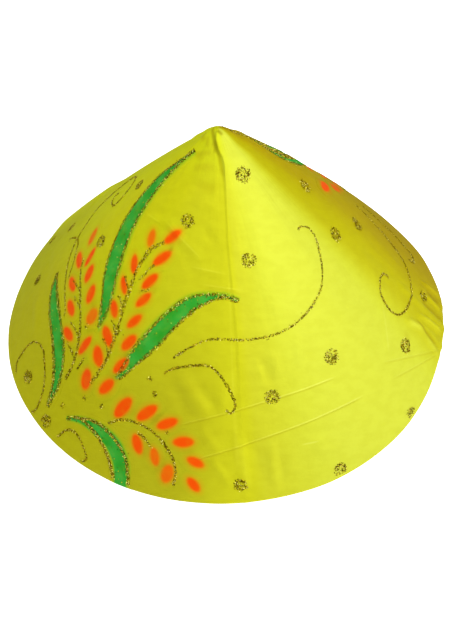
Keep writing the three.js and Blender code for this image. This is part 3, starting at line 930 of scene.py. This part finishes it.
def paint_colours(flat, motif):
    """The paint's colour and cover at flat places."""
    green, spray = leaf_paint(flat, motif.leaves)
    orange = grain_paint(flat, motif.grains)
    orange = np.where(orange > GRAIN_HALO, orange, orange * (1 - green))
    leaf_share = (green / np.maximum(green + spray * (1 - green), TINY))[:, None]
    cover = 1 - (1 - green) * (1 - spray)
    leaf_green = np.array(LEAF_GREEN) * (1 + mottle(flat)[:, None] * np.array(LEAF_MOTTLE))
    paint = leaf_green * leaf_share + np.array(SPRAY_GREEN) * (1 - leaf_share)
    total = 1 - (1 - cover) * (1 - orange)
    orange_share = (orange / np.maximum(total, TINY))[:, None]
    paint = np.array(GRAIN_ORANGE) * orange_share + paint * (1 - orange_share)
    return np.concatenate([paint, total[:, None]], 1)


def leaf_patch(curve):
    """Flat places over a leaf and a margin round it, in rows along it."""
    reach = curve[:, 2] + FILM_MARGIN
    across = np.linspace(-1, 1, LEAF_FILM_COLUMNS)
    aside = (across[None, :] * reach[:, None])[:, :, None]
    return curve[:, None, :2] + sideways(curve)[:, None, :] * aside


def sunk_border(rows, columns):
    """The numbers of a patch's border points, in order round it."""
    top = list(range(columns))
    right = [row * columns + columns - 1 for row in range(1, rows)]
    bottom = [(rows - 1) * columns + column for column in range(columns - 2, -1, -1)]
    left = [row * columns for row in range(rows - 2, 0, -1)]
    return top + right + bottom + left


def film(patches, lift, motif, name, material):
    """Thin closed films of paint on the cloth, their borders sunk into it."""
    points, faces, flats = [], [], []
    start = 0
    for patch in patches:
        rows, columns = patch.shape[:2]
        flat = patch.reshape(-1, 2)
        azimuth, slant = hat_place(flat, motif)
        slant = np.minimum(slant, EDGE_END_SLANT)
        border = sunk_border(rows, columns)
        points.append(cloth_point(azimuth, slant, lift))
        points.append(cloth_point(azimuth[border], slant[border], FILM_SUNK))
        flats += [flat, flat[border]]
        for face in grid_faces(rows, columns, False):
            faces.append(tuple(start + corner for corner in face))
        sunk = start + rows * columns
        for number, corner in enumerate(border):
            after = (number + 1) % len(border)
            faces.append((start + corner, start + border[after], sunk + after, sunk + number))
        right = columns - 1
        for row in range(rows - 1):
            left_here, left_below = -row % len(border), -(row + 1) % len(border)
            right_here, right_below = right + row, right + row + 1
            corners = (left_here, right_here, right_below, left_below)
            faces.append(tuple(sunk + corner for corner in dict.fromkeys(corners)))
        start = sunk + len(border)
    flats = np.concatenate(flats)
    colours = paint_colours(flats, motif)
    laid = flat_place(*hat_place(flats, motif))
    piece = mesh_object(
        name, np.concatenate(points), faces, material, corner_flat=laid, colours=colours
    )
    piece.data.set_sharp_from_angle(angle=math.radians(FILM_SHARP))
    return piece


def grain_patch(grain):
    """Flat places over a grain and a margin round it, in rows along it."""
    centre, along, across = grain_axes(grain)
    long_reach = grain.length / 2 + GRAIN_SPREAD + GRAIN_REACH
    wide_reach = grain.width / 2 + GRAIN_SPREAD + GRAIN_REACH
    down = np.linspace(-1, 1, int(2 * long_reach / FILM_STEP) + 1)
    sides = np.linspace(-1, 1, int(2 * wide_reach / FILM_STEP) + 1)
    width = np.sqrt(np.maximum(1 - (down * GRAIN_FILM_ROUND) ** 2, 0.0)) * wide_reach
    ahead = (down * long_reach)[:, None, None] * along
    return centre + ahead + (sides[None, :] * width[:, None])[:, :, None] * across


def make_paint(material):
    """The leaves and the grains of each motif."""
    made = []
    for motif in MOTIFS:
        leaves = [leaf_patch(curve_through(leaf.spine, FILM_STEP)) for leaf in motif.leaves]
        grains = [grain_patch(grain) for grain in motif.grains]
        made.append(film(leaves, PAINT_LIFT, motif, f"painted_leaves_{motif.name}", material))
        made.append(film(grains, GRAIN_LIFT, motif, f"painted_grains_{motif.name}", material))
    return made


# The glitter.


def chips_along(random, curve, density, width):
    """Flat places scattered along a line, thicker and thinner as a hand lays them."""
    length = len(curve) * np.linalg.norm(np.diff(curve[:, :2], axis=0), axis=1).mean()
    count = int(length * width * density)
    along = random.random(count)
    run = along * length / FLOW_LENGTH + random.random() * FLOW_TURN
    flow = 1 - FLOW_CHANGE + FLOW_CHANGE * np.sin(run)
    spot = along * (len(curve) - 1)
    index = np.minimum(spot.astype(int), len(curve) - 2)
    share = (spot - index)[:, None]
    middle = curve[index, :2] * (1 - share) + curve[index + 1, :2] * share
    reach = random.uniform(-BAND_SHARE, BAND_SHARE, count) * width * flow
    stray = random.random(count) < STRAY_SHARE
    reach = np.where(stray, random.normal(0, STRAY_REACH, count), reach)
    return middle + sideways(curve)[index] * reach[:, None]


def chips_in_dot(random, dot):
    """Flat places scattered in a dot, in clumps, thickest towards its edge."""
    half = dot.size / 2
    count = int(math.pi * half ** 2 * DOT_DENSITY)
    clumps = max(3, int(dot.size * CLUMPS_IN_SIZE))
    clump_angle = random.random(clumps) * 2 * math.pi
    clump_radius = half * np.power(random.random(clumps), CLUMP_BIAS) * CLUMP_REACH
    which = random.integers(0, clumps, count)
    loose = random.random(count) < LOOSE_SHARE
    angle = np.where(loose, random.random(count) * 2 * math.pi, clump_angle[which])
    loose_radius = half * np.power(random.random(count), LOOSE_BIAS)
    radius = np.where(loose, loose_radius, clump_radius[which])
    places = np.stack([radius * np.cos(angle), radius * np.sin(angle)], -1)
    places += random.normal(0, DOT_JITTER, (count, 2))
    return places + np.array([dot.x, dot.y])


def leaf_outline(random, leaf):
    """Flat places of the chips along the two edges of a leaf."""
    curve = curve_through(leaf.spine, CURVE_STEP)
    side = sideways(curve) * curve[:, 2:3]
    edges = (curve[:, :2] + side, curve[:, :2] - side)
    return np.concatenate(
        [chips_along(random, edge, OUTLINE_DENSITY, leaf.outline) for edge in edges]
    )


def leaf_dust(random, leaf):
    """Flat places of the few chips that fell inside a leaf."""
    curve = curve_through(leaf.spine, CURVE_STEP)
    area = 2 * CURVE_STEP * curve[:, 2].sum()
    index = random.integers(0, len(curve), int(area * LEAF_DUST))
    reach = random.uniform(-1, 1, len(index)) * curve[index, 2]
    return curve[index, :2] + sideways(curve)[index] * reach[:, None]


def between(limits, share):
    """A number at a share of the way from the first limit to the second."""
    return limits[0] + (limits[1] - limits[0]) * share


def make_chips(name, flat, motif, random, material):
    """Small closed chips lying on the cloth at flat places, each tilted its own way."""
    azimuth, slant = hat_place(flat, motif)
    keep = slant < EDGE_SLANT - CHIP_SIZE[1]
    azimuth, slant = azimuth[keep], slant[keep]
    count = len(azimuth)
    across, down, out = cloth_frame(azimuth, slant)
    spin = random.random(count) * 2 * math.pi
    size = between(CHIP_SIZE, random.random(count))[:, None] / 2
    ahead = across * np.cos(spin)[:, None] + down * np.sin(spin)[:, None]
    aside = np.cross(out, ahead)
    lean = random.normal(0, CHIP_LEAN, (count, 2))
    centre = cloth_point(azimuth, slant, CHIP_LIFT)
    corners = []
    for turn_share in range(3):
        angle = turn_share * 2 * math.pi / 3
        x, y = math.cos(angle), math.sin(angle)
        rise = lean[:, :1] * x + lean[:, 1:] * y
        corners.append(centre + (ahead * x + aside * y) * size + out * rise)
    corners.append(centre + out * between(CHIP_HEIGHT, random.random((count, 1))))
    points = np.stack(corners, 1).reshape(-1, 3)
    first = np.arange(count)[:, None] * 4
    pattern = np.array([[0, 2, 1], [0, 1, 3], [1, 2, 3], [2, 0, 3]])
    faces = (first[:, :, None] + pattern[None]).reshape(-1, 3).tolist()
    # The chips' colours, with painted glints and painted shade among them.
    shares = np.array([tone[1] for tone in CHIP_COLOURS_AND_PAINTED_GLINTS])
    tones = np.array([tone[0] for tone in CHIP_COLOURS_AND_PAINTED_GLINTS])
    picked = tones[random.choice(len(tones), count, p=shares / shares.sum())]
    colours = np.ones((count, 4, 4), np.float32)
    colours[:, :, :3] = picked[:, None, :]
    piece = mesh_object(name, points, faces, material, colours=colours.reshape(-1, 4))
    piece.data.shade_flat()
    return piece


def make_glitter(material):
    """The lines and the dots of each motif, all from one run of random numbers."""
    random = np.random.default_rng(SCATTER_START)
    made = []
    for motif in MOTIFS:
        lines = [
            chips_along(random, curve_through(line.points, CURVE_STEP), line.density, line.width)
            for line in motif.lines
        ]
        lines += [leaf_outline(random, leaf) for leaf in motif.leaves if leaf.outline > 0]
        dots = [chips_in_dot(random, dot) for dot in motif.dots]
        lines += [leaf_dust(random, leaf) for leaf in motif.leaves]
        for kind, places in (("lines", lines), ("dots", dots)):
            name = f"glitter_{kind}_{motif.name}"
            made.append(make_chips(name, np.concatenate(places), motif, random, material))
    return made


# The leaf cone and the hoops under the cloth.


def layer_ring(azimuths, slant, depth):
    """A ring of points at one slant, at a depth in the wall."""
    radius, height, _, _ = section(slant, depth)
    return turned_point(azimuths, radius + swell_at(azimuths, slant), height)


def make_leaf_cone(material):
    """Strips of palm leaf side by side, each lapping over the next."""
    columns = LEAF_COUNT * LEAF_COLUMNS
    azimuths = np.arange(columns) * 360.0 / columns
    lap = (azimuths * LEAF_COUNT / 360.0) % 1.0
    relief = RIB_HEIGHT * np.sin(lap * 4 * math.pi) + LAP_HEIGHT * lap
    down = LEAF_TIP_SLANTS + [TIP_SLANT, *np.linspace(LEAF_WALL_START, EDGE_SLANT, LEAF_RINGS)]
    rings = [layer_ring(azimuths, slant, LEAF_DEPTH) for slant in down]
    for slant in down[::-1]:
        raised = relief * min(1.0, slant / LEAF_FADE)
        rings.append(layer_ring(azimuths, slant, LEAF_DEPTH + LEAF * LEAF_THINNEST + raised))
    ends = [[[0, 0, section(0.0, depth)[1]]] for depth in (LEAF_DEPTH, LEAF_DEPTH + LEAF)]
    return closed_wall("palm_leaf_cone", rings, down + down[::-1], azimuths, ends, material)


def make_hoop(name, node, slant, depth, size, steps, sides, material, random):
    """A round bamboo hoop with a joint in the cane here and there."""
    azimuths = np.arange(steps) * 360.0 / steps
    radius, height, _, _ = section(slant, depth)
    radius = radius + swell_at(azimuths, slant)
    circumference = 2 * math.pi * radius.mean()
    knots = random.random(max(1, int(circumference / KNOT_SPACING))) * 360
    grow = np.zeros(steps)
    for knot in knots:
        away = np.abs((azimuths - knot + 180) % 360 - 180) * circumference / 360
        grow += KNOT_SHARE * np.exp(-((away / KNOT_LENGTH) ** 2))
    reach = size / 2 * (CANE_SHARE + grow)
    points, faces = [], []
    for side in range(sides):
        angle = 2 * math.pi * side / sides
        out, up = reach * math.cos(angle), reach * math.sin(angle)
        points.append(turned_point(azimuths, radius + out, height + up))
        this, other = side * steps, ((side + 1) % sides) * steps
        for step in range(steps):
            after = (step + 1) % steps
            faces.append((this + step, this + after, other + after, other + step))
    piece = mesh_object(name, np.concatenate(points), faces, material)
    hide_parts(node)


def make_hoops(material):
    """The rim hoop and the thin ones, all from one run of random numbers."""
    random = np.random.default_rng(KNOT_START)
    make_hoop(
        "bamboo_rim_hoop", "rim_hoop", RIM_HOOP_SLANT, RIM_HOOP_DEPTH, RIM_HOOP_SIZE,
        RIM_HOOP_STEPS, RIM_HOOP_SIDES, material, random,
    )
    for number in range(1, THIN_HOOP_COUNT + 1):
        slant = FIRST_HOOP_SLANT + (number - 1) * HOOP_SPACING
        steps = max(THIN_HOOP_LEAST_STEPS, int(slant))
        depth = HOOP_DEPTH + THIN_HOOP_SIZE / 2
        make_hoop(
            f"bamboo_hoop_{number:02d}", f"hoop_{number:02d}", slant, depth, THIN_HOOP_SIZE,
            steps, THIN_HOOP_SIDES, material, random,
        )


# The materials.


class Nodes:
    """A short way to add and join the nodes of one material."""

    def __init__(self, name):
        self.material = bpy.data.materials.new(name)
        self.material.use_nodes = True
        self.tree = self.material.node_tree
        self.shader = self.tree.nodes["Principled BSDF"]

    def add(self, kind, settings=None, **inputs):
        node = self.tree.nodes.new(kind)
        for key, value in (settings or {}).items():
            setattr(node, key, value)
        for key, value in inputs.items():
            self.join(node.inputs[key.replace("_", " ")], value)
        return node

    def join(self, socket, value):
        if isinstance(value, bpy.types.NodeSocket):
            self.tree.links.new(value, socket)
        else:
            socket.default_value = value

    def math(self, operation, first, second=0.0):
        node = self.tree.nodes.new("ShaderNodeMath")
        node.operation = operation
        self.join(node.inputs[0], first)
        self.join(node.inputs[1], second)
        return node.outputs[0]

    def product(self, first, *others):
        for other in others:
            first = self.math("MULTIPLY", first, other)
        return first

    def mix(self, share, first, second, blend="MIX"):
        """Two colours mixed or multiplied, which are the node's inputs 6 and 7."""
        settings = {"data_type": "RGBA", "blend_type": blend, "clamp_result": False}
        node = self.add("ShaderNodeMix", settings, Factor=share)
        self.join(node.inputs[6], first)
        self.join(node.inputs[7], second)
        return node.outputs[2]

    def surface(self, **inputs):
        """Sets inputs of the surface, named with an underscore for each space."""
        for key, value in inputs.items():
            self.join(self.shader.inputs[key.replace("_", " ")], value)

    def attribute(self, name, output):
        return self.add("ShaderNodeAttribute", {"attribute_name": name}).outputs[output]

    def length(self, vector):
        node = self.add("ShaderNodeVectorMath", {"operation": "LENGTH"})
        self.join(node.inputs[0], vector)
        return node.outputs["Value"]

    def turn(self, place):
        """The angle of a flat place round the point of the cloth."""
        parts = self.add("ShaderNodeSeparateXYZ", Vector=place)
        return self.math("ARCTAN2", parts.outputs[0], parts.outputs[1])

    def noise(self, vector, scale, stretch=(1, 1, 1), detail=2.0):
        mapping = self.add("ShaderNodeMapping", Vector=vector, Scale=stretch)
        node = self.add(
            "ShaderNodeTexNoise", Vector=mapping.outputs[0], Scale=scale, Detail=detail
        )
        return node.outputs[0]

    def polar(self, place, scale):
        """The angle round the point of the cloth and the distance from it, scaled."""
        across = self.product(self.turn(place), scale[0])
        down = self.product(self.length(place), scale[1])
        return self.add("ShaderNodeCombineXYZ", X=across, Y=down).outputs[0]

    def ramp(self, value, low, high, start=0.0, end=1.0):
        node = self.tree.nodes.new("ShaderNodeMapRange")
        node.interpolation_type = "SMOOTHSTEP"
        for socket, number in zip(node.inputs, (value, low, high, start, end)):
            self.join(socket, number)
        return node.outputs[0]

    def bump(self, height, distance=1.0):
        return self.add("ShaderNodeBump", Height=height, Distance=distance, Strength=1.0).outputs[0]


def colour(rgb):
    return (*rgb, 1.0)


def along_line(nodes, place, crease):
    """1 along a straight line on the flat cloth, fading to 0 at its sides and ends."""
    start = np.array([crease.x1, crease.y1])
    run = np.array([crease.x2, crease.y2]) - start
    length = np.linalg.norm(run)
    ahead = run / length
    aside = np.array([ahead[1], -ahead[0]])

    def measured(direction):
        node = nodes.add("ShaderNodeVectorMath", {"operation": "DOT_PRODUCT"})
        nodes.join(node.inputs[0], place)
        nodes.join(node.inputs[1], (*direction, 0.0))
        return nodes.math("SUBTRACT", node.outputs["Value"], float(direction @ start) * MM)

    off = nodes.math("ABSOLUTE", measured(aside))
    ridge = nodes.ramp(off, 0.0, crease.width * MM, 1.0, 0.0)
    along = measured(ahead)
    fade = min(CREASE_FADE, length / 3)
    begun = nodes.ramp(along, 0.0, fade * MM)
    lasting = nodes.ramp(along, (length - fade) * MM, length * MM, 1.0, 0.0)
    return nodes.product(begun, lasting, ridge)


def with_painted_sheen_and_shade(nodes, place, cloth):
    """The cloth's colour with painted sheen and painted shade, by azimuth and slant."""
    azimuth = nodes.product(nodes.turn(place), math.degrees(1.0) / FLAT_SHARE)
    slant = nodes.length(place)
    for tone in PAINTED_SHEEN_AND_SHADE:
        begun = nodes.ramp(azimuth, tone.start, tone.start + tone.run_in)
        lasting = nodes.ramp(azimuth, tone.end - tone.run_out, tone.end, 1.0, 0.0)
        down = nodes.ramp(slant, tone.slant_start * MM, tone.slant_full * MM)
        share = nodes.product(begun, lasting, down)
        cloth = nodes.mix(share, cloth, colour(tone.share), "MULTIPLY")
    return cloth


def satin(name, painted):
    """Yellow satin with a fine weave and soft wrinkles, painted sheen, highlights and shade, and
    the paint where painted.
    """
    nodes = Nodes(name)
    place = nodes.attribute("flat_cloth", "Vector")
    cloud = nodes.noise(place, SATIN_CLOUD, detail=1.0)
    ruck = nodes.noise(place, 1.0, SATIN_RUCK, 3.0)
    drape = nodes.noise(nodes.polar(place, SATIN_DRAPE), 1.0)
    blotch = nodes.noise(place, 1.0, SATIN_BLOTCH, 3.0)
    warp = nodes.noise(place, 1.0, SATIN_WARP)
    weft = nodes.noise(place, 1.0, SATIN_WEFT)
    tone = nodes.ramp(blotch, *SATIN_TONE_RAMP)
    cloth = nodes.mix(tone, colour(SATIN_DULL), colour(SATIN_YELLOW))
    # Painted sheen and shade round the hat, paler where the lamps light it and darker where it
    # turns away.
    cloth = with_painted_sheen_and_shade(nodes, place, cloth)
    cloth = nodes.mix(nodes.ramp(weft, *SATIN_SLUB_RAMP), cloth, colour(SATIN_SLUB))
    height = nodes.product(nodes.math("ADD", warp, weft), WEAVE_HEIGHT * MM)
    reliefs = [(cloud, CLOUD_HEIGHT), (ruck, RUCK_HEIGHT), (drape, DRAPE_HEIGHT)]
    reliefs += [(along_line(nodes, place, crease), crease.height) for crease in CREASES]
    for relief, size in reliefs:
        height = nodes.math("ADD", height, nodes.product(relief, size * MM))
    # Painted highlights and painted shade along the creases and folds.
    for streak in PAINTED_LIGHT_STREAKS:
        share = along_line(nodes, place, streak)
        cloth = nodes.mix(share, cloth, colour(streak.share), "MULTIPLY")
    if painted:
        wear = nodes.ramp(nodes.noise(place, PAINT_WEAR, detail=3.0), *PAINT_WEAR_RAMP)
        strength = nodes.product(nodes.attribute("paint", "Alpha"), wear)
        cloth = nodes.mix(strength, cloth, nodes.attribute("paint", "Color"))
    nodes.surface(
        Base_Color=cloth, Metallic=0.2, Roughness=0.6, Specular_IOR_Level=0.15,
        Specular_Tint=colour(SATIN_TINT), Normal=nodes.bump(height),
    )
    return nodes.material


def glitter():
    """Bronze and gold chips, some painted dark as shaded reflection and some pale as painted
    glints.
    """
    nodes = Nodes("glitter")
    nodes.surface(
        Base_Color=nodes.attribute("paint", "Color"), Metallic=0.3, Roughness=0.45,
        Specular_IOR_Level=0.1, Specular_Tint=colour(CHIP_TINT),
    )
    return nodes.material


def palm_leaf():
    """Dried palm leaf with fine lengthways fibres and a few brown marks."""
    nodes = Nodes("palm_leaf")
    place = nodes.attribute("flat_cloth", "Vector")
    fibre = nodes.noise(nodes.polar(place, PALM_FIBRE), 1.0, detail=3.0)
    blotch = nodes.noise(place, PALM_BLOTCH, detail=4.0)
    leaf = nodes.mix(nodes.ramp(fibre, *PALM_FIBRE_RAMP), colour(PALM_DULL), colour(PALM_PALE))
    leaf = nodes.mix(nodes.ramp(blotch, *PALM_BLOTCH_RAMP), leaf, colour(PALM_BROWN))
    nodes.surface(
        Base_Color=leaf, Roughness=0.62, Normal=nodes.bump(fibre, PALM_FIBRE_HEIGHT * MM)
    )
    return nodes.material


def bamboo():
    """Split cane, pale brown with darker fibres."""
    nodes = Nodes("bamboo")
    place = nodes.add("ShaderNodeTexCoord").outputs["Object"]
    fibre = nodes.noise(place, 1.0, CANE_FIBRE, 3.0)
    cloud = nodes.noise(place, CANE_CLOUD)
    cane = nodes.mix(nodes.ramp(fibre, *CANE_FIBRE_RAMP), colour(CANE_DARK), colour(CANE_BROWN))
    cane = nodes.mix(nodes.ramp(cloud, *CANE_CLOUD_RAMP), cane, colour(CANE_PALE))
    nodes.surface(
        Base_Color=cane, Roughness=0.5, Normal=nodes.bump(fibre, CANE_FIBRE_HEIGHT * MM)
    )
    return nodes.material


def make_floor():
    nodes = Nodes("floor")
    nodes.surface(
        Base_Color=colour(FLOOR_GREY), Roughness=0.9, Emission_Color=colour(WORLD_COLOUR),
        Emission_Strength=FLOOR_GLOW,
    )
    half = FLOOR_SIZE / 2
    corners = [(-half, -half, 0), (half, -half, 0), (half, half, 0), (-half, half, 0)]
    mesh = bpy.data.meshes.new("floor")
    mesh.from_pydata(corners, [], [(0, 1, 2, 3)])
    mesh.materials.append(nodes.material)
    floor = bpy.data.objects.new("floor", mesh)
    bpy.context.scene.collection.objects.link(floor)
    floor.visible_glossy = False


# The camera and the light.


def placed(point):
    """A point round the hat's axis, in metres in the frame."""
    return Vector((point[0] + AXIS[0], point[1] + AXIS[1], point[2])) * MM


def aimed(place, aim, roll):
    """A matrix at a place that looks at another, rolled about the line between them."""
    ahead = (aim - place).normalized()
    right = ahead.cross(Vector((0, 0, 1))).normalized()
    up = right.cross(ahead)
    turn = Matrix((right, up, -ahead)).transposed().to_4x4()
    return Matrix.Translation(place) @ turn @ Matrix.Rotation(math.radians(roll), 4, "Z")


def make_camera():
    data = bpy.data.cameras.new("camera")
    data.lens = CAMERA_LENS
    data.sensor_width = CAMERA_SENSOR
    camera = bpy.data.objects.new("camera", data)
    bpy.context.scene.collection.objects.link(camera)
    camera.matrix_world = aimed(placed(CAMERA_PLACE), placed(CAMERA_AIM), -CAMERA_ROLL)
    bpy.context.scene.camera = camera


def make_light():
    world = bpy.data.worlds.new("studio")
    world.use_nodes = True
    background = world.node_tree.nodes["Background"]
    background.inputs["Color"].default_value = colour(WORLD_COLOUR)
    background.inputs["Strength"].default_value = WORLD_STRENGTH
    world.cycles_visibility.glossy = False
    bpy.context.scene.world = world
    for lamp in LAMPS:
        data = bpy.data.lights.new(lamp.name, "AREA")
        data.shape = "DISK"
        data.size = lamp.size
        data.energy = lamp.power
        data.color = lamp.colour
        light = bpy.data.objects.new(lamp.name, data)
        bpy.context.scene.collection.objects.link(light)
        angle = math.radians(lamp.azimuth)
        spot = (lamp.distance * math.sin(angle), -lamp.distance * math.cos(angle), lamp.height)
        light.matrix_world = aimed(placed(spot), placed(LAMP_AIM), 0)
    bpy.context.scene.view_settings.view_transform = "Standard"


make_camera()
make_light()
make_floor()

plain_satin = satin("satin", False)
painted_satin = satin("painted_satin", True)
cover = make_cover(plain_satin)
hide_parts("cover")
for painted_piece in make_paint(painted_satin):
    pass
glitter_material = glitter()
for glitter_piece in make_glitter(glitter_material):
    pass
leaf_cone = make_leaf_cone(palm_leaf())
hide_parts("leaf_cone")
make_hoops(bamboo())
